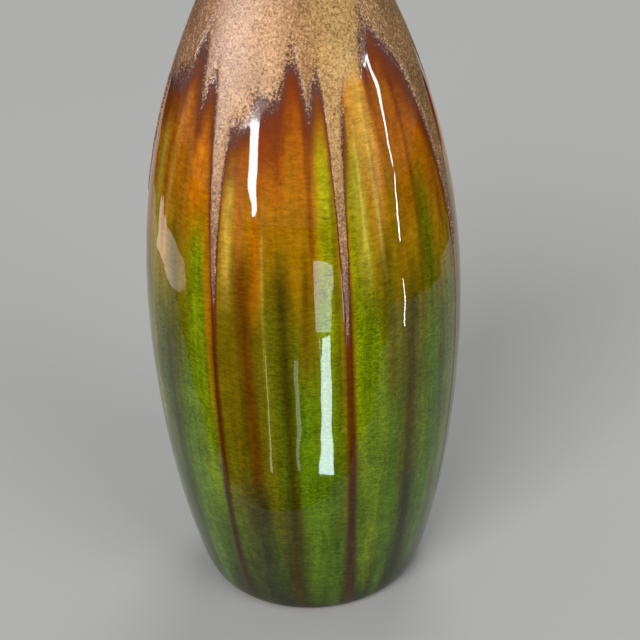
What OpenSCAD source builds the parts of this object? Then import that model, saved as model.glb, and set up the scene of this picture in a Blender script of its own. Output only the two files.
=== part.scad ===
// Bud vase: a thrown stoneware bottle with a crackled green coat,
// a sandy over-glaze that runs down it, and a glazed inside.
// The origin is the middle of the foot, on the table, with +Z up.
// The front of the vase faces -Y. Azimuths turn from the front towards +X.

/* [Overall] */
// Height from the table to the top of the over-glaze on the rim
height = 240; // [200:1:290]
// Largest diameter of the glazed body
belly_d = 90; // [80:1:110]
// Height of the largest diameter
belly_z = 86; // [70:1:104]

/* [Foot] */
// Diameter of the glazed body at the top of the heel
heel_d = 72.8; // [62:0.2:76]
// Height of the rounded heel
heel_h = 10; // [8:0.5:14]
// Outward lean of the wall above the heel, in degrees
heel_lean = 14; // [8:1:20]
// Diameter of the lower edge of the outer glaze
glaze_line_d = 66.4; // [58:0.2:68]
// Height of the bare clay under the outer glaze
bare_h = 1.5; // [1:0.1:3]
// Outer diameter of the face that the vase stands on
foot_d = 62; // [52:0.5:63]
// Width of the ring that the vase stands on
foot_ring_w = 5; // [3.5:0.5:8]
// Depth of the recess inside the foot ring
recess_h = 2.5; // [1.8:0.1:4]
// Width of the softened edges of the foot ring
foot_bevel = 0.8; // [0.4:0.1:1.2]
// Diameter of the glazed patch in the recess
recess_glaze_d = 46; // [30:1:48]

/* [Neck and lip] */
// Outer diameter of the neck
neck_d = 23; // [20:0.5:30]
// Length of the straight part of the neck
neck_len = 14; // [8:0.5:20]
// Diameter of the flared lip
lip_d = 34; // [29:0.5:42]
// Height of the flare from the neck to the top of the rim
lip_h = 14; // [11:0.5:20]
// Lean of the lip at the rim, in degrees from upright
lip_lean = 48; // [35:1:60]
// Thickness of the rim
rim_t = 3.4; // [2.6:0.1:4.6]

/* [Inside] */
// Diameter of the glazed bore in the neck
bore_d = 15; // [12:0.5:17]
// Thickness of the body wall at the belly, with its glaze
wall_t = 5; // [4:0.1:6.5]
// Thickness of the wall at the heel, with its glaze
heel_wall_t = 6; // [5:0.1:8]
// Thickness of the floor over the recess, with its glaze
floor_t = 6; // [5:0.1:9]
// Radius of the corner between the floor and the wall
floor_round = 12; // [8:0.5:16]

/* [Glaze] */
// Thickness of the outer crackle glaze
coat_t = 0.6; // [0.4:0.05:0.9]
// Thickness of the sandy over-glaze
drip_t = 0.5; // [0.3:0.05:0.9]
// Thickness of the inner glaze
liner_t = 0.5; // [0.3:0.05:0.8]
// Thickness of the glaze in the recess
recess_glaze_t = 0.4; // [0.3:0.05:0.8]
// Distance from the top of the rim to the lower edge of the over-glaze collar
collar_drop = 70; // [55:1:95]
// Width of the thin line that a long run ends in
run_w = 2; // [1.2:0.1:3]

/* [Hidden] */
$fn = 96;

// Runs of over-glaze: azimuth, width at the collar, fall to the thin line,
// and height of the tip above the table (0 for a short tongue that has no thin line)
RUNS = [
    [-32, 12, 55, 4],
    [-16, 14, 10, 0],
    [3, 6, 12, 0],
    [15, 10, 52, 4],
    [26, 12, 8, 0],
    [46, 5, 6, 0],
    [69, 14, 60, 38],
    [97, 9, 22, 0],
    [121, 11, 48, 9],
    [146, 7, 16, 0],
    [172, 12, 58, 22],
    [198, 8, 18, 0],
    [223, 12, 50, 5],
    [247, 7, 14, 0],
    [268, 11, 56, 30],
    [290, 10, 12, 0],
    [312, 5, 9, 0]
];

// Length of a run's root inside the collar
run_overlap = 4;

// Shape of the curves: how far each handle reaches along its stretch
heel_low_reach = 0.62;
heel_high_reach = 0.6;
body_low_reach = 0.32;
body_high_reach = 0.33;
shoulder_low_reach = 0.613;
shoulder_high_reach = 0.2;
flare_low_reach = 0.45;
flare_high_reach = 0.4;

// Steps on each curve
heel_steps = 6;
body_steps = 12;
shoulder_steps = 22;
flare_steps = 8;
rim_steps = 10;
corner_steps = 6;

belly_r = belly_d / 2;
heel_r = heel_d / 2;
glaze_line_r = glaze_line_d / 2;
foot_r = foot_d / 2;
neck_r = neck_d / 2;
lip_r = lip_d / 2;
bore_r = bore_d / 2;
rim_r = rim_t / 2;
neck_top_z = height - lip_h;
neck_z = neck_top_z - neck_len;
shoulder_rise = neck_z - belly_z;
collar_z = height - collar_drop;
floor_z = recess_h + floor_t;
rim_centre = [lip_r - rim_r, height - drip_t - rim_r];

// Point on a cubic curve
function bezier(a, b, c, d, t) =
    pow(1 - t, 3) * a + 3 * pow(1 - t, 2) * t * b + 3 * (1 - t) * t * t * c + pow(t, 3) * d;

// Points of a cubic curve without its first one
function curve(a, b, c, d, steps) = [for (i = [1 : steps]) bezier(a, b, c, d, i / steps)];

// Unit vector that leans outwards from upright
function lean(angle) = [sin(angle), cos(angle)];

// Points moved sideways: positive to the right of the way they run
function shifted(pts, gap) = [
    for (i = [0 : len(pts) - 1])
        let (
            before = pts[max(i - 1, 0)],
            after = pts[min(i + 1, len(pts) - 1)],
            way = (after - before) / norm(after - before)
        )
        pts[i] + gap[i] * [way[1], -way[0]]
];

function reversed(pts) = [for (i = [len(pts) - 1 : -1 : 0]) pts[i]];
function evenly(value, count) = [for (i = [1 : count]) value];

// Outer surface of the crackle glaze, from its lower edge to the inner side of the rim
heel_start = [glaze_line_r, bare_h];
heel_end = [heel_r, heel_h];
belly_point = [belly_r, belly_z];
neck_start = [neck_r, neck_z];
neck_end = [neck_r, neck_top_z];
heel_rise = heel_h - bare_h;
body_rise = belly_z - heel_h;
heel_curve = curve(
    heel_start,
    heel_start + [heel_low_reach * (heel_r - glaze_line_r - heel_rise * tan(heel_lean)), 0],
    heel_end - heel_high_reach * heel_rise * lean(heel_lean),
    heel_end,
    heel_steps
);
body_curve = curve(
    heel_end,
    heel_end + body_low_reach * body_rise * lean(heel_lean),
    belly_point - [0, body_high_reach * body_rise],
    belly_point,
    body_steps
);
shoulder_curve = curve(
    belly_point,
    belly_point + [0, shoulder_low_reach * shoulder_rise],
    neck_start - [0, shoulder_high_reach * shoulder_rise],
    neck_start,
    shoulder_steps
);
flare_end = rim_centre + rim_r * [cos(lip_lean), -sin(lip_lean)];
flare_rise = flare_end[1] - neck_top_z;
flare_curve = curve(
    neck_end,
    neck_end + [0, flare_low_reach * flare_rise],
    flare_end - flare_high_reach * flare_rise * lean(lip_lean),
    flare_end,
    flare_steps
);
rim_curve = [
    for (i = [1 : rim_steps])
        let (angle = -lip_lean + 180 * i / rim_steps)
        rim_centre + rim_r * [cos(angle), sin(angle)]
];
coat_skin = concat(
    [heel_start], heel_curve, body_curve, shoulder_curve, [neck_end], flare_curve, rim_curve
);

// Surface of the inner glaze, from the rim down to the middle of the floor
mouth_start = rim_curve[rim_steps - 1];
mouth_fall = mouth_start[1] - neck_top_z;
bore_top = [bore_r, neck_top_z];
bore_foot = [bore_r, neck_z];
belly_inside = [belly_r - wall_t, belly_z];
heel_inside = [heel_r - heel_wall_t, floor_z + floor_round];
corner_foot = [heel_inside[0] - floor_round, floor_z];
mouth_curve = curve(
    mouth_start,
    mouth_start - flare_high_reach * mouth_fall * lean(lip_lean),
    bore_top + [0, flare_low_reach * mouth_fall],
    bore_top,
    flare_steps
);
inner_shoulder = curve(
    bore_foot,
    bore_foot - [0, shoulder_high_reach * shoulder_rise],
    belly_inside + [0, shoulder_low_reach * shoulder_rise],
    belly_inside,
    shoulder_steps
);
inner_rise = belly_z - heel_inside[1];
inner_body = curve(
    belly_inside,
    belly_inside - [0, body_high_reach * inner_rise],
    heel_inside + body_low_reach * inner_rise * lean(heel_lean),
    heel_inside,
    body_steps
);
inner_corner = curve(
    heel_inside,
    heel_inside - floor_round / 2 * lean(heel_lean),
    corner_foot + [floor_round / 2, 0],
    corner_foot,
    corner_steps
);
liner_skin = concat(mouth_curve, [bore_foot], inner_shoulder, inner_body, inner_corner, [[0, floor_z]]);

// The clay surface lies under both glazes
glazed_skin = concat(coat_skin, liner_skin);
coat_count = len(coat_skin);
liner_count = len(liner_skin);
clay_skin = shifted(
    glazed_skin,
    concat(evenly(-coat_t, coat_count), evenly(-liner_t, liner_count))
);
clay_under_coat = [for (i = [0 : coat_count - 1]) clay_skin[i]];
clay_under_liner = [for (i = [coat_count - 1 : len(clay_skin) - 2]) clay_skin[i]];
clay_floor = [0, floor_z - liner_t];
over_skin = shifted(coat_skin, evenly(drip_t, coat_count));

module clay_body() {
    recess_r = foot_r - foot_ring_w;
    color("tan")
        rotate_extrude()
            polygon(concat(
                [
                    [0, recess_h],
                    [recess_r - foot_bevel, recess_h],
                    [recess_r, recess_h - foot_bevel],
                    [recess_r, foot_bevel],
                    [recess_r + foot_bevel, 0],
                    [foot_r - foot_bevel, 0],
                    [foot_r, foot_bevel]
                ],
                clay_under_coat,
                clay_under_liner,
                [clay_floor]
            ));
}

module crackle_glaze() {
    color("olivedrab")
        rotate_extrude()
            polygon(concat(coat_skin, reversed(clay_under_coat)));
}

module liner_glaze() {
    color("darkkhaki")
        rotate_extrude()
            polygon(concat(
                [coat_skin[coat_count - 1]],
                liner_skin,
                [clay_floor],
                reversed(clay_under_liner)
            ));
}

module recess_glaze() {
    color("darkolivegreen")
        translate([0, 0, recess_h - recess_glaze_t])
            cylinder(d = recess_glaze_d, h = recess_glaze_t);
}

// Whole skin of over-glaze, from which the collar and its runs are cut
module over_glaze_shell() {
    rotate_extrude()
        polygon(concat(over_skin, reversed(coat_skin)));
}

// Outline of one run, as seen from the side that it runs down
module run_outline(width, fall, tip_z) {
    root_z = collar_z + run_overlap;
    tongue_r = width / 4;
    if (tip_z > 0) {
        thin_z = collar_z - fall;
        bend = [width / 5, collar_z - fall / 3];
        polygon([
            [-width / 2, root_z],
            [width / 2, root_z],
            bend,
            [run_w / 2, thin_z],
            [-run_w / 2, thin_z],
            [-bend[0], bend[1]]
        ]);
        translate([-run_w / 2, tip_z])
            square([run_w, thin_z - tip_z]);
        translate([0, tip_z])
            circle(d = run_w);
    } else {
        tongue_z = collar_z - fall + tongue_r;
        polygon([
            [-width / 2, root_z],
            [width / 2, root_z],
            [tongue_r, tongue_z],
            [-tongue_r, tongue_z]
        ]);
        translate([0, tongue_z])
            circle(r = tongue_r);
    }
}

module drip_glaze() {
    reach = belly_r + 2 * drip_t;
    color("burlywood")
        intersection() {
            over_glaze_shell();
            union() {
                translate([0, 0, collar_z])
                    cylinder(r = reach, h = collar_drop + drip_t);
                for (run = RUNS)
                    rotate([0, 0, run[0]])
                        rotate([90, 0, 0])
                            linear_extrude(reach)
                                run_outline(run[1], run[2], run[3]);
            }
        }
}

clay_body();
crackle_glaze();
drip_glaze();
liner_glaze();
recess_glaze();
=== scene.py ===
import math

import bpy
import numpy as np
from mathutils import Matrix, Vector


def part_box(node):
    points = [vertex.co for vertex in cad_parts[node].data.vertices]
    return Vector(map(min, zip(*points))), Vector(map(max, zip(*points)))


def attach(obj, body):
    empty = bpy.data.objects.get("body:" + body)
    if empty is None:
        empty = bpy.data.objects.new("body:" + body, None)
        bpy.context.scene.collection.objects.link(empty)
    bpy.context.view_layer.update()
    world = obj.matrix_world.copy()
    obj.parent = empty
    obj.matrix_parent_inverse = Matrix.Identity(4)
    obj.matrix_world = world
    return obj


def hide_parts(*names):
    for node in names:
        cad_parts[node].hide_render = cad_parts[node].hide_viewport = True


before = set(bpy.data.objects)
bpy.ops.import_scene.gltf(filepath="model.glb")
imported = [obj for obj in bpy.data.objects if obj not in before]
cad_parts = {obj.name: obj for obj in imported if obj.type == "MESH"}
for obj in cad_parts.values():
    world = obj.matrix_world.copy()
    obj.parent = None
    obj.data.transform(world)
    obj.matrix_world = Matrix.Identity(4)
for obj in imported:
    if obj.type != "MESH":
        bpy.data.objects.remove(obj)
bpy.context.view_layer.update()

MM = 0.001
LONG_STRAIGHT = 7.0
CARD_LIFT = 0.001
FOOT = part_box("clay_body")[0].z / MM
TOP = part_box("drip_glaze")[1].z / MM


# ---------------------------------------------------------------- colours

def srgb(red, green, blue):
    """Linear colour of a tone given as 0 to 255 screen values."""
    tones = []
    for value in (red, green, blue):
        share = value / 255
        tones.append(share / 12.92 if share <= 0.04045 else ((share + 0.055) / 1.055) ** 2.4)
    return (*tones, 1.0)


# ---------------------------------------------------------------- camera

def add_camera():
    """The vase stands close below the camera, which leans a little to one side."""
    lens = 67.5
    sensor = 36.0
    distance = 0.3081
    height = 0.2517
    pitch = math.radians(28.84)
    roll = math.radians(-1.67)
    yaw = math.radians(0.79)
    ahead = Vector((math.sin(yaw) * math.cos(pitch), math.cos(yaw) * math.cos(pitch), -math.sin(pitch)))
    level = Vector((math.cos(yaw), -math.sin(yaw), 0))
    upright = level.cross(ahead)
    right = level * math.cos(roll) + upright * math.sin(roll)
    up = upright * math.cos(roll) - level * math.sin(roll)
    data = bpy.data.cameras.new("camera")
    data.lens = lens
    data.sensor_width = sensor
    data.clip_start = 0.01
    camera = bpy.data.objects.new("camera", data)
    bpy.context.scene.collection.objects.link(camera)
    turn = Matrix((right, up, -ahead)).transposed().to_4x4()
    camera.matrix_world = Matrix.Translation((0, -distance, height)) @ turn
    bpy.context.scene.camera = camera
    return camera


camera = add_camera()


# ---------------------------------------------------------------- outlines read from the CAD nodes' seams

def seam_outline(node):
    """Outline (radius, height in mm) of a turned CAD node, from the edges on its seam, in order."""
    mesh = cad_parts[node].data
    places = np.empty(len(mesh.vertices) * 3)
    mesh.vertices.foreach_get("co", places)
    places = places.reshape(-1, 3)
    ends = np.empty(len(mesh.edges) * 2, dtype=int)
    mesh.edges.foreach_get("vertices", ends)
    ends = ends.reshape(-1, 2)
    on_seam = (np.abs(places[:, 1]) < 1e-7) & (places[:, 0] > -1e-7)
    spots = np.round(places[:, [0, 2]] / MM, 3)
    links = {}
    for first, second in ends[on_seam[ends[:, 0]] & on_seam[ends[:, 1]]]:
        a, b = tuple(spots[first]), tuple(spots[second])
        if a != b:
            links.setdefault(a, set()).add(b)
            links.setdefault(b, set()).add(a)
    loose = [spot for spot, near in links.items() if len(near) == 1]
    start = min(loose or links, key=lambda spot: (spot[1], spot[0]))
    path = [start]
    last = None
    while True:
        onward = [spot for spot in links[path[-1]] if spot != last and spot != start]
        if not onward:
            break
        last = path[-1]
        path.append(min(onward) if len(path) == 1 else onward[0])
        if len(path) > len(links):
            break
    return np.array(path), not loose


def turning(path, closed):
    """Angle in degrees by which an outline turns at each point."""
    before = np.roll(path, 1, axis=0)
    after = np.roll(path, -1, axis=0)
    way_in = path - before
    way_out = after - path
    angles = np.degrees(np.arctan2(way_out[:, 1], way_out[:, 0]) - np.arctan2(way_in[:, 1], way_in[:, 0]))
    angles = np.abs((angles + 180) % 360 - 180)
    if not closed:
        angles[[0, -1]] = 180
    return angles


def smooth_stretch(points, gap):
    """Points of a smooth curve through the given ones, about gap mm apart."""
    result = [points[0]]
    for i in range(len(points) - 1):
        p0 = points[max(i - 1, 0)]
        p1, p2 = points[i], points[i + 1]
        p3 = points[min(i + 2, len(points) - 1)]
        length = np.linalg.norm(p2 - p1)
        in_length = max(np.linalg.norm(p1 - p0), 1e-9)
        out_length = max(np.linalg.norm(p3 - p2), 1e-9)
        lead = (p2 - p1) / length
        start_way = lead if i == 0 else (p1 - p0) / in_length * length + lead * in_length
        end_way = lead if i == len(points) - 2 else (p3 - p2) / out_length * length + lead * out_length
        if length > LONG_STRAIGHT:
            start_way = end_way = lead
        start_way = start_way / np.linalg.norm(start_way) * length
        end_way = end_way / np.linalg.norm(end_way) * length
        count = max(1, round(length / gap))
        for k in range(1, count + 1):
            t = k / count
            result.append(
                (2 * t**3 - 3 * t**2 + 1) * p1
                + (t**3 - 2 * t**2 + t) * start_way
                + (3 * t**2 - 2 * t**3) * p2
                + (t**3 - t**2) * end_way
            )
    return result


def stretches(node):
    """A node's outline cut at its sharp corners, as lists of points."""
    path, closed = seam_outline(node)
    angles = turning(path, closed)
    keep = angles > 0.15
    path, angles = path[keep], angles[keep]
    corners = [i for i, angle in enumerate(angles) if angle > 38]
    if closed:
        path = np.roll(path, -corners[0], axis=0)
        corners = [i - corners[0] for i in corners] + [len(path)]
        path = np.vstack([path, path[:1]])
    return [path[a:b + 1] for a, b in zip(corners, corners[1:])]


# ---------------------------------------------------------------- turning a piece from its outline

def deselect():
    if bpy.context.object and bpy.context.object.mode != "OBJECT":
        bpy.ops.object.mode_set(mode="OBJECT")
    bpy.ops.object.select_all(action="DESELECT")


def turned_piece(name, outline, steps, closed):
    """Spins an outline (mm) round the vase's axis into a closed piece with its faces outwards."""
    deselect()
    bpy.ops.mesh.primitive_plane_add(size=MM, location=(0, 0, 0))
    piece = bpy.context.object
    piece.name = name
    bpy.ops.object.mode_set(mode="EDIT")
    bpy.ops.mesh.select_all(action="SELECT")
    bpy.ops.mesh.merge(type="CENTER")
    spots = [Vector((r * MM, 0, z * MM)) for r, z in outline]
    bpy.ops.transform.translate(value=spots[0])
    for here, there in zip(spots, spots[1:]):
        bpy.ops.mesh.extrude_vertices_move(TRANSFORM_OT_translate={"value": there - here})
    if closed:
        bpy.ops.mesh.select_all(action="SELECT")
        bpy.ops.mesh.remove_doubles(threshold=1e-7)
    bpy.ops.mesh.select_all(action="SELECT")
    bpy.ops.mesh.spin(
        steps=steps, angle=math.tau, center=(0, 0, 0), axis=(0, 0, 1), use_normal_flip=False
    )
    bpy.ops.mesh.select_all(action="SELECT")
    bpy.ops.mesh.remove_doubles(threshold=2e-7)
    bpy.ops.mesh.normals_make_consistent(inside=False)
    bpy.ops.object.mode_set(mode="OBJECT")
    bpy.ops.object.shade_smooth_by_angle(angle=math.radians(40))
    return piece


def places_of(piece):
    places = np.empty(len(piece.data.vertices) * 3)
    piece.data.vertices.foreach_get("co", places)
    return places.reshape(-1, 3) / MM


def move_to(piece, places):
    piece.data.vertices.foreach_set("co", (places * MM).ravel())
    piece.data.update()


def azimuth(places):
    """Degrees from the front of the vase, positive towards +X."""
    return np.degrees(np.arctan2(places[:, 0], -places[:, 1]))


def way_along(places, outline):
    """How far in mm along the outline each point is."""
    steps = np.linalg.norm(np.diff(outline, axis=0), axis=1)
    travel = np.concatenate([[0], np.cumsum(steps)])
    radius = np.hypot(places[:, 0], places[:, 1])
    nearest = np.empty(len(places), dtype=int)
    block = 4000
    for start in range(0, len(places), block):
        r = radius[start:start + block, None]
        z = places[start:start + block, 2, None]
        gaps = (r - outline[None, :, 0]) ** 2 + (z - outline[None, :, 1]) ** 2
        nearest[start:start + block] = gaps.argmin(axis=1)
    return travel[nearest]


def wrap_uv(piece, along, hidden, length):
    """UV map that unrolls the piece: azimuth across and the way along its outline upwards.
    Faces with a hidden point share a thin strip at the bottom."""
    mesh = piece.data
    layer = mesh.uv_layers.new(name="OFBake")
    corners = np.empty(len(mesh.loops), dtype=int)
    mesh.loops.foreach_get("vertex_index", corners)
    starts = np.empty(len(mesh.polygons), dtype=int)
    counts = np.empty(len(mesh.polygons), dtype=int)
    mesh.polygons.foreach_get("loop_start", starts)
    mesh.polygons.foreach_get("loop_total", counts)
    face = np.repeat(np.arange(len(starts)), counts)
    across = (azimuth(places_of(piece)) / 360 + 0.5)[corners]
    widest = np.maximum.reduceat(across, starts)[face]
    narrowest = np.minimum.reduceat(across, starts)[face]
    across = np.where((widest - narrowest > 0.5) & (across < 0.5), across + 1, across)
    across = across / across.max() * 0.996 + 0.002
    covered = np.maximum.reduceat(hidden[corners].astype(float), starts)[face] > 0
    share = np.clip(along[corners] / length, 0, 1)
    rise = np.where(covered, 0.002 + 0.03 * share, 0.04 + 0.955 * share)
    layer.data.foreach_set("uv", np.stack([across, rise], axis=1).ravel())


def set_value(piece, name, values):
    attribute = piece.data.attributes.new(name, "FLOAT", "POINT")
    attribute.data.foreach_set("value", values.astype(np.float32))


def set_colour(piece, name, colours):
    attribute = piece.data.attributes.new(name, "FLOAT_COLOR", "POINT")
    full = np.concatenate([colours, np.ones((len(colours), 1))], axis=1)
    attribute.data.foreach_set("color", full.astype(np.float32).ravel())


# ---------------------------------------------------------------- where the glazes ran

# Lower border of the sandy over-glaze: azimuth in degrees from the front, height in mm.
# A narrow dip is a run: its tip is where the sandy glaze thins out into a dark line.
BORDER = [
    (-180, 162), (-176, 167), (-171, 163), (-168, 156), (-164, 148), (-162, 140), (-160, 150),
    (-156, 162), (-151, 168), (-146, 162), (-142, 152), (-139.5, 136), (-138, 118), (-137.2, 108),
    (-136.2, 118), (-135, 136), (-132, 152), (-128, 162), (-123, 167), (-118, 161), (-114, 152),
    (-111, 160), (-106, 166), (-101, 160), (-97, 150), (-94.5, 136), (-92.5, 118), (-91, 136),
    (-89, 150), (-86, 158), (-81, 161), (-78, 160), (-72, 157.5), (-68, 161), (-63, 162),
    (-58, 163), (-55.5, 167.5), (-52.5, 169.5), (-49, 166), (-46.5, 160), (-45, 156), (-43, 160),
    (-40, 163), (-38, 160), (-36.4, 154), (-35.2, 145), (-34.2, 135), (-33.2, 123), (-32.4, 112),
    (-31.8, 104), (-31.2, 112), (-30.7, 123), (-30.3, 135), (-29.9, 144), (-29, 150), (-27, 152),
    (-24, 153), (-21, 156), (-17, 158.5), (-12, 158.5), (-8, 160), (-6, 164), (-4, 168.5),
    (-1.5, 169), (0.8, 165), (2.6, 159), (4.2, 155), (6, 160), (8, 164), (10, 163.5), (11.2, 157),
    (11.7, 147), (12.2, 136), (12.5, 124), (12.7, 112), (13, 104), (13.8, 99), (14.6, 104),
    (14.9, 112), (15.1, 124), (15.5, 136), (16.3, 146), (17.6, 153), (19.5, 158), (22, 161.5), (25, 163), (28, 162.5),
    (30.4, 163), (31.8, 166), (34, 169), (36.5, 171.5), (39.5, 174), (42, 173.5), (45, 171),
    (48, 168.5), (52, 166), (55, 163), (58, 158), (61, 151), (63.2, 143), (65.2, 133), (66.8, 122),
    (67.9, 110), (68.6, 110), (69.6, 122), (70.8, 134), (72.5, 146), (75, 154), (78, 158), (84, 161),
    (90, 164), (95, 160), (97.6, 150), (99.2, 137), (100.5, 148), (102.5, 158), (106, 165),
    (111, 168), (116, 161), (118.6, 149), (120, 130), (121, 110), (122, 130), (123.6, 149),
    (126, 160), (131, 166), (137, 164), (142, 158), (146, 151), (149, 159), (153, 166), (158, 168),
    (163, 162), (167, 150), (169.6, 132), (171, 116), (172.3, 132), (174, 150), (177, 158), (180, 162),
]

# Dark lines below the long runs: azimuth at the tip and at the foot, height of the tip and of the
# lower end, half width in mm, and width in mm of the orange edge on the left and on the right
LINES = [
    (-31.8, -33.8, 128, 1, 1.05, 2.0, 0.4),
    (13.8, 16.4, 136, 1, 1.4, 0.5, 0.6),
    (68.2, 67.0, 128, 30, 1.1, 0.5, 0.5),
    (99.3, 99.8, 144, 112, 0.8, 0.4, 0.8),
    (121, 122.4, 128, 4, 1.1, 1.4, 0.5),
    (171, 169.6, 132, 16, 1.0, 0.6, 1.2),
    (-137.2, -135.8, 126, 1, 1.15, 0.7, 1.8),
    (-92.5, -93.4, 134, 24, 1.0, 0.8, 0.5),
]

# Colour of the green coat from the shoulder down to the foot, with no streaks: height, tone. The darkening over the
# last rows towards the foot is painted shade where the body turns under.
GROUND_AND_FOOT_SHADE = [
    (175, (128, 58, 10)), (163, (158, 80, 6)), (150, (166, 90, 4)), (138, (162, 97, 4)),
    (126, (148, 104, 5)), (114, (128, 104, 7)), (102, (112, 106, 9)), (90, (102, 108, 10)),
    (76, (96, 112, 12)), (60, (90, 112, 12)), (44, (84, 106, 18)), (28, (72, 90, 20)),
    (12, (48, 60, 16)), (0, (30, 34, 12)),
]

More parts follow.
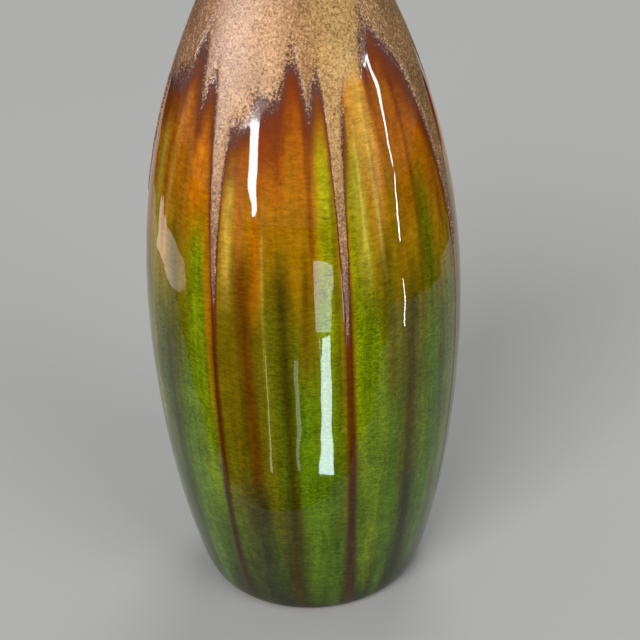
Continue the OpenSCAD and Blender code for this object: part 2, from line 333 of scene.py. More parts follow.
# Streaks in the coat: azimuth and half width in degrees, upper and lower end in mm, tone, strength
STREAKS = [
    (-67, 3.2, 152, 60, (150, 140, 46), 0.75),
    (-61, 1.6, 162, 116, (150, 84, 16), 0.8),
    (-57, 1.5, 158, 112, (172, 138, 50), 0.7),
    (-53.5, 3.0, 172, 146, (196, 118, 40), 0.8),
    (-55, 4.6, 98, 0, (54, 62, 22), 0.9),
    (-50.5, 3.4, 130, 70, (84, 80, 14), 0.8),
    (-49, 2.8, 150, 126, (146, 92, 16), 0.75),
    (-64, 4.0, 100, 10, (76, 82, 40), 0.7),
    (-46, 4.4, 88, 4, (92, 120, 26), 0.85),
    (-41, 3.2, 164, 130, (192, 108, 8), 0.9),
    (-39, 4.0, 126, 44, (118, 140, 6), 0.9),
    (-26.4, 2.0, 146, 110, (196, 160, 60), 0.9),
    (-22.8, 1.5, 152, 116, (180, 102, 40), 0.7),
    (-26, 3.0, 112, 40, (112, 88, 3), 0.8),
    (-29, 2.8, 104, 46, (112, 92, 4), 0.8),
    (-20, 4.4, 122, 38, (92, 48, 2), 0.95),
    (-14.5, 2.6, 110, 40, (104, 86, 5), 0.8),
    (-17, 2.4, 136, 108, (168, 92, 4), 0.8),
    (-24, 4.5, 54, 0, (72, 72, 26), 0.75),
    (-19.5, 4.2, 52, 0, (50, 54, 24), 0.9),
    (-9.5, 2.6, 50, 0, (54, 54, 22), 0.85),
    (-13.4, 0.5, 132, 66, (176, 168, 70), 0.45),
    (-14, 3.2, 164, 142, (150, 66, 12), 0.9),
    (-8, 3.2, 164, 140, (142, 62, 6), 0.85),
    (4, 0.9, 158, 134, (120, 52, 14), 0.8),
    (-12, 2.4, 114, 30, (104, 100, 8), 0.75),
    (-7, 3.2, 122, 0, (62, 50, 4), 0.9),
    (-4, 1.6, 150, 108, (146, 100, 3), 0.7),
    (0.5, 3.4, 84, 8, (94, 124, 10), 0.85),
    (2.4, 1.0, 164, 92, (122, 62, 3), 0.85),
    (-2, 3.4, 172, 156, (140, 58, 3), 0.9),
    (0.4, 1.6, 126, 92, (104, 66, 2), 0.85),
    (7.4, 2.9, 156, 100, (152, 154, 8), 0.95),
    (7, 3.2, 112, 56, (122, 142, 4), 0.95),
    (8.5, 2.6, 166, 150, (176, 108, 6), 0.85),
    (8, 3.2, 62, 2, (82, 110, 14), 0.8),
    (11.4, 1.4, 150, 40, (108, 104, 4), 0.75),
    (10, 2.6, 60, 0, (62, 80, 16), 0.6),
    (18, 2.0, 146, 100, (140, 148, 8), 0.85),
    (19, 3.2, 112, 56, (118, 140, 4), 0.9),
    (25.5, 5.0, 168, 142, (206, 156, 60), 0.95),
    (21, 2.6, 150, 112, (158, 156, 40), 0.85),
    (27, 1.6, 150, 122, (172, 150, 50), 0.8),
    (30, 1.8, 152, 134, (206, 150, 66), 0.8),
    (33, 1.4, 140, 116, (120, 116, 14), 0.7),
    (23.5, 3.8, 106, 12, (106, 130, 6), 0.85),
    (30, 2.8, 126, 78, (84, 78, 6), 0.85),
    (30.5, 3.0, 74, 4, (80, 112, 14), 0.8),
    (33.6, 1.6, 172, 146, (140, 80, 16), 0.8),
    (38.6, 4.6, 112, 44, (66, 56, 8), 0.95),
    (44.6, 0.8, 150, 96, (92, 58, 4), 0.7),
    (29, 0.6, 150, 112, (132, 108, 30), 0.6),
    (22.6, 0.5, 156, 120, (206, 168, 84), 0.6),
    (27.4, 0.5, 160, 124, (222, 172, 92), 0.6),
    (35.5, 2.4, 132, 104, (122, 92, 4), 0.7),
    (40, 4.2, 52, 0, (42, 44, 20), 0.95),
    (37, 3.0, 146, 116, (136, 96, 10), 0.7),
    (41, 2.4, 172, 150, (158, 92, 16), 0.8),
    (46.4, 1.2, 170, 146, (112, 54, 16), 0.85),
    (46, 1.8, 138, 116, (92, 62, 3), 0.9),
    (50, 3.4, 140, 96, (108, 106, 10), 0.6),
    (49.5, 3.6, 132, 92, (92, 98, 4), 0.8),
    (49.5, 4.2, 100, 16, (76, 108, 10), 0.85),
    (52, 3.2, 172, 156, (128, 68, 26), 0.7),
    (56.5, 2.4, 104, 10, (70, 84, 26), 0.8),
    (61, 2.6, 108, 24, (92, 114, 30), 0.85),
    (60.5, 2.4, 156, 122, (122, 72, 10), 0.8),
    (64.5, 1.6, 120, 40, (98, 108, 30), 0.7),
    (73.5, 3.4, 140, 30, (98, 108, 36), 0.8),
    (80, 3.6, 152, 108, (160, 96, 14), 0.7),
    (84, 3.2, 104, 6, (60, 66, 22), 0.85),
    (90, 2.6, 156, 70, (142, 140, 20), 0.8),
    (94.5, 2.2, 96, 10, (88, 116, 20), 0.8),
    (105, 3.0, 150, 112, (190, 112, 14), 0.8),
    (108, 3.4, 108, 20, (112, 130, 10), 0.8),
    (113, 2.2, 142, 60, (98, 66, 5), 0.85),
    (117, 2.0, 110, 4, (88, 116, 14), 0.8),
    (127, 3.2, 156, 118, (200, 156, 60), 0.85),
    (130, 3.6, 112, 0, (58, 58, 16), 0.9),
    (136, 2.8, 150, 64, (146, 144, 14), 0.8),
    (141, 2.4, 108, 8, (84, 112, 18), 0.8),
    (146.5, 1.4, 150, 92, (120, 62, 5), 0.85),
    (151, 3.4, 146, 104, (176, 104, 8), 0.7),
    (154, 3.4, 96, 2, (72, 84, 24), 0.8),
    (160, 3.0, 152, 58, (132, 134, 10), 0.75),
    (165, 2.6, 116, 10, (60, 50, 8), 0.85),
    (176, 3.0, 140, 40, (124, 136, 10), 0.8),
    (-178, 2.2, 100, 2, (84, 110, 16), 0.7),
    (-172, 3.0, 150, 108, (188, 112, 10), 0.8),
    (-170, 3.2, 104, 4, (58, 64, 20), 0.85),
    (-163.5, 1.6, 146, 70, (112, 66, 4), 0.85),
    (-158, 3.2, 120, 20, (110, 130, 10), 0.8),
    (-151, 3.8, 164, 126, (206, 158, 66), 0.8),
    (-149, 3.2, 110, 2, (66, 58, 12), 0.9),
    (-143, 2.4, 140, 50, (140, 142, 12), 0.8),
    (-131, 2.6, 140, 60, (134, 138, 10), 0.8),
    (-125, 3.4, 148, 104, (170, 98, 6), 0.75),
    (-122, 3.2, 100, 6, (84, 112, 18), 0.8),
    (-115, 2.2, 138, 40, (94, 62, 5), 0.85),
    (-108, 3.6, 110, 12, (106, 128, 10), 0.8),
    (-103, 2.2, 150, 92, (152, 140, 30), 0.7),
    (-99, 2.6, 96, 2, (62, 66, 20), 0.85),
    (-87, 2.8, 142, 60, (140, 142, 16), 0.8),
    (-81, 3.2, 116, 4, (84, 106, 22), 0.8),
    (-75, 2.6, 150, 96, (146, 92, 16), 0.8),
    (-73, 2.8, 92, 8, (100, 112, 36), 0.7),
]

# Tone of the sandy over-glaze round the vase: azimuth, tone
SAND = [
    (-180, (184, 138, 90)), (-140, (194, 146, 102)), (-104, (164, 118, 76)), (-72, (140, 98, 68)),
    (-50, (160, 114, 82)), (-40, (184, 134, 98)), (-30, (196, 146, 106)), (-12, (200, 154, 112)),
    (-3, (178, 132, 90)), (5, (158, 116, 72)), (13, (188, 146, 88)), (24, (192, 156, 92)),
    (33, (176, 138, 78)), (44, (148, 112, 70)), (60, (132, 98, 56)), (80, (146, 110, 64)),
    (110, (184, 146, 90)), (150, (172, 126, 78)), (180, (184, 138, 90)),
]
THIN_SAND = (106, 76, 58)

# Where the border has no dark fringe, only a pale orange one: azimuth, half width in degrees
PALE_EDGES = [(25, 6), (127, 5), (-151, 6)]

DARK_LINE_HIGH = (84, 42, 6)
DARK_LINE_LOW = (62, 40, 22)
ORANGE_EDGE = (176, 88, 3)


def blend_in(value, start, end):
    """0 before start, 1 after end, smooth between them."""
    share = np.clip((value - start) / (end - start), 0, 1)
    return share * share * (3 - 2 * share)


def angle_between(first, second):
    return (first - second + 180) % 360 - 180


def border_height(angles):
    """Height of the over-glaze's lower border at each azimuth."""
    points = np.array(BORDER, dtype=float)
    fine = np.arange(-180, 180, 0.1)
    heights = np.interp(fine, points[:, 0], points[:, 1])
    weights = np.hanning(13)
    weights = weights / weights.sum()
    wrapped = np.concatenate([heights[-6:], heights, heights[:6]])
    return np.interp(angles, fine, np.convolve(wrapped, weights, "valid"), period=360)


def tones_along(values, stops):
    """Linear colours at the given values, from a list of (value, screen tone)."""
    spots = np.array([stop[0] for stop in stops], dtype=float)
    tones = np.array([srgb(*stop[1])[:3] for stop in stops])
    order = spots.argsort()
    return np.stack([np.interp(values, spots[order], tones[order, k]) for k in range(3)], axis=1)


def mixed(colours, tone, share):
    return colours * (1 - share[:, None]) + np.array(tone) * share[:, None]


def line_share(angles, radius, height, line):
    """How far inside a dark line each point is, and how far in its orange edges."""
    tip_angle, foot_angle, tip, foot, half_width, left_edge, right_edge = line
    down = np.clip((tip - height) / (tip - foot), 0, 1)
    wander = 0.35 * np.sin(height * 0.11 + tip_angle) + 0.2 * np.sin(height * 0.043 + 2 * tip_angle)
    centre = tip_angle + (foot_angle - tip_angle) * down ** 1.6 + wander * down
    off = np.radians(angle_between(angles, centre)) * radius
    width = half_width * (0.85 + 0.5 * down)
    ends = blend_in(height, foot - 3, foot + 3) * (1 - blend_in(height, tip - 20, tip))
    dark = (1 - blend_in(np.abs(off), width * 0.4, width * 1.3)) * ends
    reach = np.where(off < 0, left_edge, right_edge)
    upper = 1 - blend_in(height, tip + 6, tip + 26)
    edge = (1 - blend_in(np.abs(off) - width, reach * 0.3, reach * 1.5)) * blend_in(height, 44, 116)
    return dark, edge * upper * np.clip(reach, 0, 1)


def coat_colours(places):
    """Colour of the transparent coat at each point, before its fine detail."""
    angles = azimuth(places)
    radius = np.hypot(places[:, 0], places[:, 1])
    height = places[:, 2]
    # Coat tones by height; the darkening towards the foot is painted shade
    colours = tones_along(height, GROUND_AND_FOOT_SHADE)
    for centre, half_width, upper, lower, tone, strength in STREAKS:
        sway = 0.8 * np.sin(height * 0.05 + centre)
        off = np.abs(angle_between(angles, centre + sway))
        across = np.exp(-((off / half_width) ** 2) * 1.1)
        soft = 10
        ends = blend_in(height, lower - soft, lower + soft)
        ends = ends * (1 - blend_in(height, upper - soft, upper + soft))
        colours = mixed(colours, srgb(*tone)[:3], across * ends * strength)
    for line in LINES:
        dark, edge = line_share(angles, radius, height, line)
        colours = mixed(colours, srgb(*ORANGE_EDGE)[:3], edge * 0.6)
        depth = blend_in(height, 40, 70)
        tones = mixed(np.tile(srgb(*DARK_LINE_LOW)[:3], (len(height), 1)), srgb(*DARK_LINE_HIGH)[:3], depth)
        colours = colours * (1 - dark[:, None]) + tones * dark[:, None]
    return colours


def coat_ridges(places):
    """Height in mm of the soft ridges that the coat's streaks stand up in."""
    angles = azimuth(places)
    height = places[:, 2]
    ridges = np.zeros(len(places))
    for centre, half_width, upper, lower, tone, strength in STREAKS:
        off = np.abs(angle_between(angles, centre + 0.8 * np.sin(height * 0.05 + centre)))
        across = np.exp(-((off / (half_width * 0.8)) ** 2))
        ends = blend_in(height, lower - 14, lower + 14) * (1 - blend_in(height, upper - 14, upper + 14))
        ridges += 0.05 * across * ends * strength
    radius = np.hypot(places[:, 0], places[:, 1])
    for line in LINES:
        dark, edge = line_share(angles, radius, height, line)
        ridges += 0.12 * dark
    return ridges


def mark_glaze(piece):
    """Stores on a glaze piece what its material reads."""
    places = places_of(piece)
    angles = azimuth(places)
    height = places[:, 2]
    set_colour(piece, "coat_tone", coat_colours(places))
    sand = tones_along(angles, SAND)
    thin = 1 - blend_in(height, 112, 152)
    set_colour(piece, "sand_tone", mixed(sand, srgb(*THIN_SAND)[:3], thin * 0.85))
    set_value(piece, "over", np.clip(height - border_height(angles), -40, 40))
    fringe = np.ones(len(places))
    for centre, half_width in PALE_EDGES:
        off = np.abs(angle_between(angles, centre))
        fringe = fringe * blend_in(off, half_width - 1, half_width + 1)
    set_value(piece, "fringe", fringe)


# ---------------------------------------------------------------- materials

class Nodes:
    """Short names for adding and joining a material's nodes."""

    def __init__(self, name):
        self.material = bpy.data.materials.new(name)
        self.material.use_nodes = True
        self.tree = self.material.node_tree
        self.shader = self.tree.nodes["Principled BSDF"]

    def add(self, kind, inputs=None, **settings):
        node = self.tree.nodes.new(kind)
        for key, value in settings.items():
            setattr(node, key, value)
        for key, value in (inputs or {}).items():
            self.join(value, node.inputs[key])
        return node

    def join(self, value, socket):
        if isinstance(value, bpy.types.NodeSocket):
            self.tree.links.new(value, socket)
        else:
            socket.default_value = value

    def math(self, operation, *values, clamp=False):
        node = self.add("ShaderNodeMath", operation=operation, use_clamp=clamp)
        for socket, value in zip(node.inputs, values):
            self.join(value, socket)
        return node.outputs[0]

    def ramp(self, value, start, end, low=0.0, high=1.0):
        node = self.add("ShaderNodeMapRange", interpolation_type="SMOOTHSTEP")
        for key, item in zip(("Value", "From Min", "From Max", "To Min", "To Max"), (value, start, end, low, high)):
            self.join(item, node.inputs[key])
        return node.outputs[0]

    def mix(self, share, first, second, blend="MIX"):
        node = self.add("ShaderNodeMix", data_type="RGBA", blend_type=blend)
        for key, item in ((0, share), (6, first), (7, second)):
            self.join(item, node.inputs[key])
        return node.outputs[2]

    def read(self, name, output):
        return self.add("ShaderNodeAttribute", attribute_name=name).outputs[output]

    def place(self, scale=(1, 1, 1)):
        spot = self.add("ShaderNodeTexCoord").outputs["Object"]
        return self.add("ShaderNodeMapping", {"Vector": spot, "Scale": scale}).outputs[0]

    def noise(self, place, scale, detail=2.0, distortion=0.0, roughness=0.5):
        node = self.add(
            "ShaderNodeTexNoise",
            {"Vector": place, "Scale": scale, "Detail": detail, "Roughness": roughness, "Distortion": distortion},
        )
        return node.outputs["Factor"] if "Factor" in node.outputs else node.outputs["Fac"]

    def cells(self, place, scale, feature="F1", randomness=1.0):
        node = self.add(
            "ShaderNodeTexVoronoi", {"Vector": place, "Scale": scale, "Randomness": randomness}, feature=feature
        )
        return node.outputs

    def bump(self, height, distance, strength=1.0, normal=None):
        node = self.add("ShaderNodeBump", {"Height": height, "Distance": distance, "Strength": strength})
        if normal is not None:
            self.join(normal, node.inputs["Normal"])
        return node.outputs[0]


PLUM = srgb(92, 58, 54)
RED_BROWN = srgb(108, 44, 14)
PALE_ORANGE = srgb(214, 150, 70)
SAND_LIGHT = srgb(234, 192, 144)
SAND_DARK = srgb(112, 72, 48)
CRAZE_DARK = srgb(30, 40, 4)
CRAZE_GLOW = (1.9, 1.8, 1.5, 1)


def warped_place(nodes, place, scale, amount):
    """A place pushed about by a soft noise, so that what is drawn on it curves."""
    noise = nodes.add("ShaderNodeTexNoise", {"Vector": place, "Scale": scale, "Detail": 1.0})
    push = nodes.add("ShaderNodeVectorMath", operation="MULTIPLY_ADD")
    nodes.join(noise.outputs["Color"], push.inputs[0])
    nodes.join((amount, amount, amount), push.inputs[1])
    nodes.join(place, push.inputs[2])
    return push.outputs[0]


def fired_glaze(name):
    """The two outer glazes as one fired skin: crazed green coat, dark fringe, sandy over-glaze."""
    nodes = Nodes(name)
    place = nodes.place()
    coat = nodes.read("coat_tone", "Color")
    sand = nodes.read("sand_tone", "Color")
    over = nodes.read("over", "Fac")
    fringe = nodes.read("fringe", "Fac")

    # Crazed coat: fine level ripples, two nets of craze lines and thin upright streaks
    curved = warped_place(nodes, place, 110, 0.0032)
    level = nodes.add("ShaderNodeMapping", {"Vector": curved, "Scale": (1, 1, 1.9)}).outputs[0]
    fine_net = nodes.ramp(nodes.cells(level, 820, "DISTANCE_TO_EDGE")["Distance"], 0.01, 0.1, 1.0, 0.0)
    wide = nodes.add("ShaderNodeMapping", {"Vector": curved, "Scale": (1, 1, 3.0)}).outputs[0]
    arcs = nodes.ramp(nodes.cells(wide, 260, "DISTANCE_TO_EDGE")["Distance"], 0.004, 0.034, 1.0, 0.0)
    ripples = nodes.ramp(nodes.noise(wide, 420, 2.0), 0.36, 0.64)
    patches = nodes.noise(place, 70, 2.0)
    upright = nodes.add("ShaderNodeMapping", {"Vector": place, "Scale": (1, 1, 0.05)}).outputs[0]
    streaks = nodes.noise(upright, 650, 2.0)
    parts = nodes.add("ShaderNodeSeparateColor", {"Color": coat})
    warm = nodes.math("SUBTRACT", parts.outputs["Red"], parts.outputs["Green"])
    warm = nodes.ramp(warm, -0.02, 0.12)
    brighter = nodes.mix(1.0, coat, CRAZE_GLOW, "MULTIPLY")
    craze_tone = nodes.mix(warm, CRAZE_DARK, brighter)
    grain = nodes.ramp(nodes.noise(level, 1000, 2.0), 0.32, 0.68, -0.2, 0.2)
    grain = nodes.math("MULTIPLY", grain, nodes.ramp(warm, 0.0, 1.0, 1.0, 0.25))
    value = nodes.math("MULTIPLY_ADD", ripples, 0.28, 0.86)
    value = nodes.math("ADD", value, grain)
    value = nodes.math("MULTIPLY", value, nodes.ramp(patches, 0.3, 0.7, 0.86, 1.14))
    value = nodes.math("MULTIPLY", value, nodes.ramp(streaks, 0.3, 0.7, 0.85, 1.15))
    shades = nodes.add("ShaderNodeCombineColor", {"Red": value, "Green": value, "Blue": value})
    coat = nodes.mix(1.0, coat, shades.outputs[0], "MULTIPLY")
    patchy = nodes.ramp(nodes.noise(place, 130, 2.0), 0.35, 0.62, 0.16, 0.5)
    fine_net = nodes.math("MULTIPLY", fine_net, nodes.ramp(warm, 0.0, 1.0, 1.0, 0.45))
    craze = nodes.math("MAXIMUM", fine_net, arcs)
    craze = nodes.math("MULTIPLY", craze, nodes.ramp(parts.outputs["Red"], 0.03, 0.1, 0.35, 1.0))
    coat = nodes.mix(nodes.math("MULTIPLY", craze, patchy), coat, craze_tone)

    # Sandy over-glaze: pale and dark grains, with longer brown flecks among them
    grains = nodes.noise(place, 1750, 3.0, 0.0, 0.66)
    swirl = warped_place(nodes, place, 500, 0.0012)
    flecks = nodes.noise(swirl, 800, 2.0, 1.6, 0.55)
    sand = nodes.mix(nodes.ramp(grains, 0.52, 0.66, 0.0, 0.5), sand, SAND_LIGHT)
    sand = nodes.mix(nodes.ramp(grains, 0.49, 0.36, 0.0, 0.72), sand, SAND_DARK)
    sand = nodes.mix(nodes.ramp(flecks, 0.55, 0.68, 0.0, 0.6), sand, SAND_DARK)
    sand = nodes.mix(nodes.ramp(flecks, 0.42, 0.32, 0.0, 0.45), sand, SAND_LIGHT)
    clouds = nodes.ramp(nodes.noise(place, 90, 3.0), 0.35, 0.65, 0.86, 1.1)
    cloudy = nodes.add("ShaderNodeCombineColor", {"Red": clouds, "Green": clouds, "Blue": clouds})
    sand = nodes.mix(1.0, sand, cloudy.outputs[0], "MULTIPLY")

    # Border: the sandy flecks thin out into plum, then red brown, then the clear coat
    scatter = nodes.math("MULTIPLY_ADD", grains, 22.0, -11.0)
    wobble = nodes.math("MULTIPLY_ADD", nodes.noise(place, 170, 3.0), 9.0, -4.5)
    ragged = nodes.math("ADD", over, wobble)
    speckled = nodes.math("ADD", ragged, scatter)
    red_share = nodes.math("MULTIPLY", nodes.ramp(ragged, -17.0, -4.0), nodes.math("MULTIPLY", fringe, 0.85))
    plum_share = nodes.math("MULTIPLY", nodes.ramp(ragged, -6.0, -0.5), fringe)
    sand_share = nodes.ramp(speckled, -1.0, 4.5, 0.0, 1.0)
    tone = nodes.mix(red_share, coat, RED_BROWN)
    tone = nodes.mix(plum_share, tone, PLUM)
    tone = nodes.mix(sand_share, tone, sand)
    nodes.join(tone, nodes.shader.inputs["Base Color"])

    # The coat is glassy; the over-glaze is glossy with a crinkled skin
    rough = nodes.ramp(speckled, -2.0, 4.0, 0.035, 0.22)
    nodes.join(rough, nodes.shader.inputs["Roughness"])
    crinkle = nodes.math("ADD", grains, flecks)
    crinkle = nodes.math("MULTIPLY", crinkle, nodes.ramp(over, -4.0, 6.0))
    soft = nodes.bump(nodes.noise(place, 60, 1.0), 0.0003)
    nodes.join(nodes.bump(crinkle, 0.00016, normal=soft), nodes.shader.inputs["Normal"])
    nodes.shader.inputs["Specular IOR Level"].default_value = 0.24
    return nodes.material


def inner_glaze_material():
    """Pooled amber glaze inside the vase."""
    nodes = Nodes("inner_glaze")
    place = nodes.place()
    patches = nodes.noise(place, 60, 3.0)
    craze = nodes.ramp(nodes.cells(place, 420, "DISTANCE_TO_EDGE")["Distance"], 0.02, 0.12, 1.0, 0.0)
    tone = nodes.mix(nodes.ramp(patches, 0.35, 0.65), srgb(150, 104, 40), srgb(112, 98, 30))
    tone = nodes.mix(nodes.math("MULTIPLY", craze, 0.4), tone, srgb(74, 50, 18))
    nodes.join(tone, nodes.shader.inputs["Base Color"])
    nodes.join(nodes.ramp(patches, 0.3, 0.7, 0.06, 0.12), nodes.shader.inputs["Roughness"])
    nodes.join(nodes.bump(nodes.noise(place, 90, 1.0), 0.0004), nodes.shader.inputs["Normal"])
    return nodes.material


def recess_glaze_material():
    """Thick green glaze that settled inside the foot ring."""
    nodes = Nodes("recess_glaze")
    place = nodes.place()
    patches = nodes.noise(place, 110, 3.0)
    craze = nodes.ramp(nodes.cells(place, 330, "DISTANCE_TO_EDGE")["Distance"], 0.02, 0.1, 1.0, 0.0)
    tone = nodes.mix(nodes.ramp(patches, 0.35, 0.65), srgb(70, 92, 18), srgb(112, 104, 16))
    tone = nodes.mix(nodes.math("MULTIPLY", craze, 0.55), tone, srgb(36, 44, 10))
    nodes.join(tone, nodes.shader.inputs["Base Color"])
    nodes.join(nodes.ramp(patches, 0.3, 0.7, 0.06, 0.14), nodes.shader.inputs["Roughness"])
    nodes.join(nodes.bump(patches, 0.0005), nodes.shader.inputs["Normal"])
    return nodes.material


def bare_clay_material():
    """Sandy fired stoneware with the fine rings of the turning tool."""
    nodes = Nodes("bare_clay")
    place = nodes.place()
    grain = nodes.noise(place, 1500, 3.0)
    patches = nodes.noise(place, 120, 3.0)
    specks = nodes.ramp(nodes.cells(place, 480)["Distance"], 0.12, 0.22, 1.0, 0.0)
    tone = nodes.mix(nodes.ramp(patches, 0.35, 0.65), srgb(176, 136, 98), srgb(150, 108, 74))
    tone = nodes.mix(nodes.ramp(grain, 0.4, 0.7, 0.0, 0.4), tone, srgb(206, 172, 132))
    tone = nodes.mix(nodes.math("MULTIPLY", specks, 0.6), tone, srgb(92, 62, 44))
    nodes.join(tone, nodes.shader.inputs["Base Color"])
    nodes.join(nodes.ramp(grain, 0.3, 0.7, 0.72, 0.92), nodes.shader.inputs["Roughness"])
    rings = nodes.add("ShaderNodeTexWave", {"Vector": place, "Scale": 210.0, "Distortion": 1.2, "Detail": 1.0},
                      wave_type="RINGS", rings_direction="Z")
    ringed = nodes.bump(rings.outputs["Fac"], 0.0001)
    nodes.join(nodes.bump(grain, 0.00012, normal=ringed), nodes.shader.inputs["Normal"])
    return nodes.material


# ---------------------------------------------------------------- the pieces

COAT_STEPS = 470
COAT_GAP = 1.8
HIDDEN_GAP = 12.0
OVER_GAP = 1.5
OVER_REACH = 5.0
OVER_THICKNESS = 0.5
OVER_DIP = 0.3
PLAIN_STEPS = 160
PLAIN_GAP = 2.2


def finish_piece(piece, node, material):
    piece.data.materials.clear()
    piece.data.materials.append(material)
    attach(piece, "root")
    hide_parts(node)


def add_crackle_coat(material):
    """The green coat, with its streaks standing up in soft ridges."""
    inner, outer = [part for part in stretches("crackle_glaze") if len(part) > 2]
    skin = np.array(smooth_stretch(outer, COAT_GAP))
    skin_length = np.linalg.norm(np.diff(skin, axis=0), axis=1).sum()
    outline = np.vstack([skin, smooth_stretch(inner, HIDDEN_GAP), skin[:1]])
    piece = turned_piece("crackle_coat", outline, COAT_STEPS, closed=True)
    places = places_of(piece)
    along = way_along(places, outline)
    hidden = along > skin_length + 1e-6
    lift = coat_ridges(places) * ~hidden * blend_in(places[:, 2], 2, 8)
    wrap_uv(piece, along, hidden, skin_length)
    mark_glaze(piece)
    places[:, :2] *= 1 + lift[:, None] / np.hypot(places[:, 0], places[:, 1])[:, None]
    move_to(piece, places)
    finish_piece(piece, "crackle_glaze", material)
    return piece


def add_sandy_glaze(material):
    """The over-glaze: a skin over neck and shoulder whose lower border sinks into the coat."""
    outer = [part for part in stretches("crackle_glaze") if len(part) > 2][1]
    outline = np.array(smooth_stretch(outer, OVER_GAP))
    lowest = min(point[1] for point in BORDER) - 2 * OVER_REACH
    skin = np.array([point for point in outline if point[1] > lowest])
    skin_length = np.linalg.norm(np.diff(skin, axis=0), axis=1).sum()
    piece = turned_piece("sandy_over_glaze", skin, COAT_STEPS, closed=False)
    mesh = piece.data
    places = places_of(piece)
    over = places[:, 2] - border_height(azimuth(places))
    gone = over < -OVER_REACH
    for face in mesh.polygons:
        face.select = all(gone[index] for index in face.vertices)
    for edge in mesh.edges:
        edge.select = False
    for vertex in mesh.vertices:
        vertex.select = False
    for face in mesh.polygons:
        if face.select:
            for index in face.vertices:
                mesh.vertices[index].select = True
    bpy.ops.object.mode_set(mode="EDIT")
    bpy.ops.mesh.select_mode(type="FACE")
    bpy.ops.mesh.delete(type="FACE")
    bpy.ops.mesh.select_all(action="SELECT")
    bpy.ops.mesh.normals_make_consistent(inside=False)
    bpy.ops.object.mode_set(mode="OBJECT")

    places = places_of(piece)
    along = way_along(places, skin)
    over = places[:, 2] - border_height(azimuth(places))
    normals = np.empty(len(places) * 3)
    mesh.vertices.foreach_get("normal", normals)
    normals = normals.reshape(-1, 3)
    lift = coat_ridges(places) - OVER_DIP + (OVER_THICKNESS + OVER_DIP) * blend_in(over, -2.0, 6.0)
    lift = lift * blend_in(along, 0, 3) + OVER_THICKNESS * 0.6 * (1 - blend_in(along, 0, 3))
    move_to(piece, places + normals * lift[:, None])
    count = len(places)
    wall = piece.modifiers.new("wall", "SOLIDIFY")
    wall.thickness = (OVER_THICKNESS + 0.2) * MM
    wall.offset = -1
    deselect()
    piece.select_set(True)
    bpy.context.view_layer.objects.active = piece
    bpy.ops.object.modifier_apply(modifier="wall")
    places = places_of(piece)
    hidden = np.arange(len(places)) >= count
    wrap_uv(piece, np.tile(along, 2)[:len(places)], hidden, skin_length)
    mark_glaze(piece)
    finish_piece(piece, "drip_glaze", material)
    return piece


def axis_to_axis(node):
    """A node's whole outline, with a flat end carried in to the axis."""
    outline = []
    for part in stretches(node):
        stretch = smooth_stretch(part, PLAIN_GAP)
        outline += stretch if not outline else stretch[1:]
    if outline[0][0] > 0:
        outline.insert(0, np.array([0.0, outline[0][1]]))
    if outline[-1][0] > 0:
        outline.append(np.array([0.0, outline[-1][1]]))
    return np.array(outline)


def add_clay_pot(material):
    piece = turned_piece("clay_pot", axis_to_axis("clay_body"), PLAIN_STEPS, closed=False)
    finish_piece(piece, "clay_body", material)
    return piece


def add_inner_glaze(material):
    piece = turned_piece("inner_glaze", axis_to_axis("liner_glaze"), PLAIN_STEPS, closed=False)
    finish_piece(piece, "liner_glaze", material)
    return piece


def add_recess_glaze(material):
    """A shallow pool of glaze with a rounded, slightly uneven edge."""
    low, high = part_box("recess_glaze")
    radius = high.x / MM
    base = high.z / MM
    thickness = (high.z - low.z) / MM
    edge = [
        (radius * math.cos(t) + (radius - thickness) * (1 - math.cos(t)), base - thickness * math.sin(t))
        for t in (0, math.pi / 8, math.pi / 4, 3 * math.pi / 8, math.pi / 2)
    ]
    rings = [(radius * share, base - thickness) for share in (0.85, 0.7, 0.5, 0.3, 0.15)]
    outline = np.array([(0.0, base)] + edge + rings + [(0.0, base - thickness)])
    piece = turned_piece("recess_glaze_pool", outline, PLAIN_STEPS, closed=False)
    places = places_of(piece)
    angles = np.radians(azimuth(places))
    share = np.hypot(places[:, 0], places[:, 1]) / radius
    uneven = 1 - 0.025 * share**4 * (1 + np.sin(3 * angles + 1) * 0.6 + np.sin(7 * angles) * 0.4)
    places[:, :2] *= uneven[:, None]
    move_to(piece, places)
    finish_piece(piece, "recess_glaze", material)
    return piece



# ---------------------------------------------------------------- floor and light

def add_floor():
    """A plain pale floor, wide enough to fill the view."""
    deselect()
    bpy.ops.mesh.primitive_circle_add(vertices=96, radius=3.6, fill_type="NGON", location=(0, 0, FOOT * MM))
    floor = bpy.context.object
    floor.name = "floor"
    nodes = Nodes("pale_floor")
    nodes.shader.inputs["Base Color"].default_value = (0.45, 0.45, 0.44, 1)
    nodes.shader.inputs["Roughness"].default_value = 0.9
    nodes.shader.inputs["Specular IOR Level"].default_value = 0.0
    floor.data.materials.append(nodes.material)


def add_lamp(name, place, aim, width, height, power, colour=(1, 1, 1)):
    """A rectangular soft lamp at place, facing aim."""
    data = bpy.data.lights.new(name, "AREA")
    data.shape = "RECTANGLE"
    data.size = width
    data.size_y = height
    data.energy = power
    data.color = colour
    lamp = bpy.data.objects.new(name, data)
    bpy.context.scene.collection.objects.link(lamp)
    lamp.location = place
    lamp.rotation_euler = (Vector(aim) - Vector(place)).to_track_quat("-Z", "Y").to_euler()
    lamp.visible_camera = False
    return lamp


def mirrored_spot(azimuth_degrees, height, distance):
    """A place in front of the vase whose reflection shows at that azimuth and height on the coat."""
    skin = [part for part in stretches("crackle_glaze") if len(part) > 2][1]
    skin = skin[skin[:, 1].argsort()]
    radius, lower, upper = (
        float(np.interp(z, skin[:, 1], skin[:, 0])) for z in (height, height - 1, height + 1)
    )
    turn = math.radians(azimuth_degrees)
    outward = Vector((math.sin(turn), -math.cos(turn), 0))
    normal = (outward + Vector((0, 0, (lower - upper) / 2))).normalized()
    spot = (outward * radius + Vector((0, 0, height))) * MM
    ray = (spot - camera.location).normalized()
    return spot + ray.reflect(normal) * distance


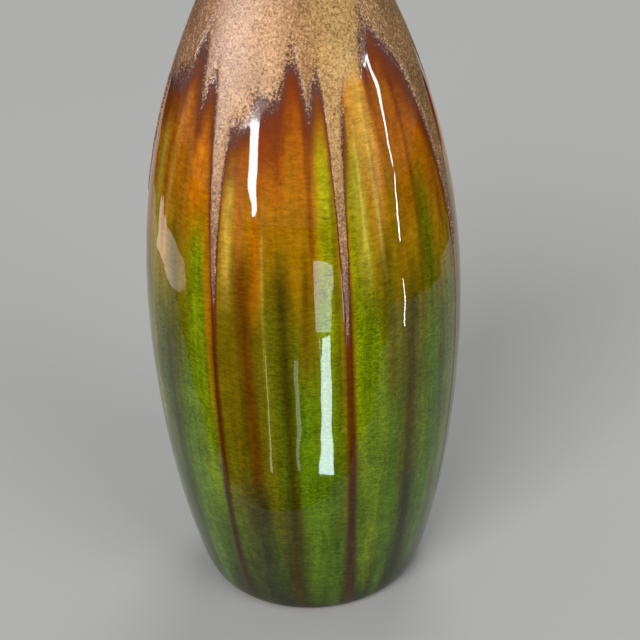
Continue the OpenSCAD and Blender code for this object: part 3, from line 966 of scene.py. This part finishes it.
def add_shine(name, ends, sides, distance, brightness, colour=(1, 1, 1)):
    """A strip lamp seen only as a shine on the glaze: its ends and sides as (azimuth, height)."""
    lower, upper = (mirrored_spot(*spot, distance) for spot in ends)
    left, right = (mirrored_spot(*spot, distance) for spot in sides)
    centre = (lower + upper) / 2
    along = (upper - lower).normalized()
    target = Vector((0, 0, (ends[0][1] + ends[1][1]) / 2 * MM))
    across = along.cross((centre - target).normalized()).normalized()
    back = across.cross(along).normalized()
    width, height = abs((right - left).dot(across)), (upper - lower).length
    lamp = add_lamp(name, centre, target, width, height, 1, colour)
    lamp.visible_diffuse = False
    lamp.matrix_world = Matrix.Translation(centre) @ Matrix((across, along, back)).transposed().to_4x4()
    lamp.data.energy = brightness * math.pi * width * height
    return lamp


def add_upright_shine(name, ends, width, distance, brightness, colour=(1, 1, 1)):
    """A shine that runs down the vase, its width in degrees of azimuth."""
    middle = [(a + b) / 2 for a, b in zip(*ends)]
    sides = [(middle[0] + way * width / 2, middle[1]) for way in (-1, 1)]
    return add_shine(name, ends, sides, distance, brightness, colour)


def add_dark_card(name, corners):
    """A black card just above the floor, seen only in the glaze, where the light table ends."""
    deselect()
    bpy.ops.mesh.primitive_plane_add(size=1, location=(0, 0, FOOT * MM))
    card = bpy.context.object
    card.name = name
    for vertex, (x, y) in zip(card.data.vertices, corners):
        vertex.co = (x, y, CARD_LIFT)
    nodes = Nodes(name)
    nodes.shader.inputs["Base Color"].default_value = (0.012, 0.012, 0.012, 1)
    nodes.shader.inputs["Roughness"].default_value = 0.8
    nodes.shader.inputs["Specular IOR Level"].default_value = 0.0
    card.data.materials.append(nodes.material)
    card.visible_camera = False
    card.visible_diffuse = False
    card.visible_shadow = False


def add_world():
    world = bpy.data.worlds.new("studio")
    world.use_nodes = True
    background = world.node_tree.nodes["Background"]
    background.inputs["Color"].default_value = (1, 1, 1, 1)
    background.inputs["Strength"].default_value = 0.26
    bpy.context.scene.world = world


add_clay_pot(bare_clay_material())
add_inner_glaze(inner_glaze_material())
add_recess_glaze(recess_glaze_material())
add_crackle_coat(fired_glaze("crackle_glaze"))
add_sandy_glaze(fired_glaze("sandy_glaze"))
add_floor()
add_world()
for name, place, power in (
    ("soft_window", (-1.9, -3.2, 2.4), 140),
    ("soft_fill", (2.6, -2.4, 2.2), 60),
    ("soft_back", (0.8, 3.4, 2.6), 70),
):
    lamp = add_lamp(name, place, (0, 0, 0.12), 2.4, 2.0, power)
    lamp.visible_glossy = False
add_dark_card("dark_front", [(-0.32, -9.0), (0.31, -9.0), (-0.32, 0.03), (0.31, -0.19)])
add_dark_card("dark_left", [(-9.0, -9.0), (-0.32, -9.0), (-9.0, 9.0), (-0.32, 9.0)])
add_dark_card("dark_right", [(0.31, -9.0), (9.0, -9.0), (0.31, 9.0), (9.0, 9.0)])
add_upright_shine("tall_gap", ((-17.2, 134), (-18.2, 156)), 2.6, 0.7, 60)
add_upright_shine("tall_gap_top", ((-36, 166), (-32, 181)), 3.6, 0.7, 300)
add_upright_shine("thin_gap", ((35.2, 112), (37, 140)), 0.55, 0.7, 60)
add_upright_shine("thin_gap_low", ((34.6, 99), (35.2, 113)), 0.45, 0.1, 60)
add_upright_shine("thin_gap_top", ((36.6, 143), (36.4, 172)), 0.6, 0.7, 60)
add_upright_shine("pale_window", ((5.8, 59), (6.2, 101)), 4.8, 0.07, 30, (0.74, 0.94, 1.0))
add_upright_shine("pale_window_top", ((5.6, 103), (6.4, 121)), 6.4, 0.1, 11, (0.8, 0.95, 1.0))
add_upright_shine("pale_gap_left", ((-14.8, 58), (-13.4, 96)), 0.9, 0.07, 7, (1.0, 1.0, 0.75))
add_upright_shine("pale_gap_middle", ((-3.6, 60), (-3.2, 95)), 0.8, 0.07, 5, (1.0, 1.0, 0.8))
add_shine("left_pane", ((-45, 113), (-63, 124)), ((-53.5, 112.5), (-56, 125)), 0.33, 3, (1.0, 0.84, 0.74))
bpy.context.scene.view_settings.view_transform = "Standard"
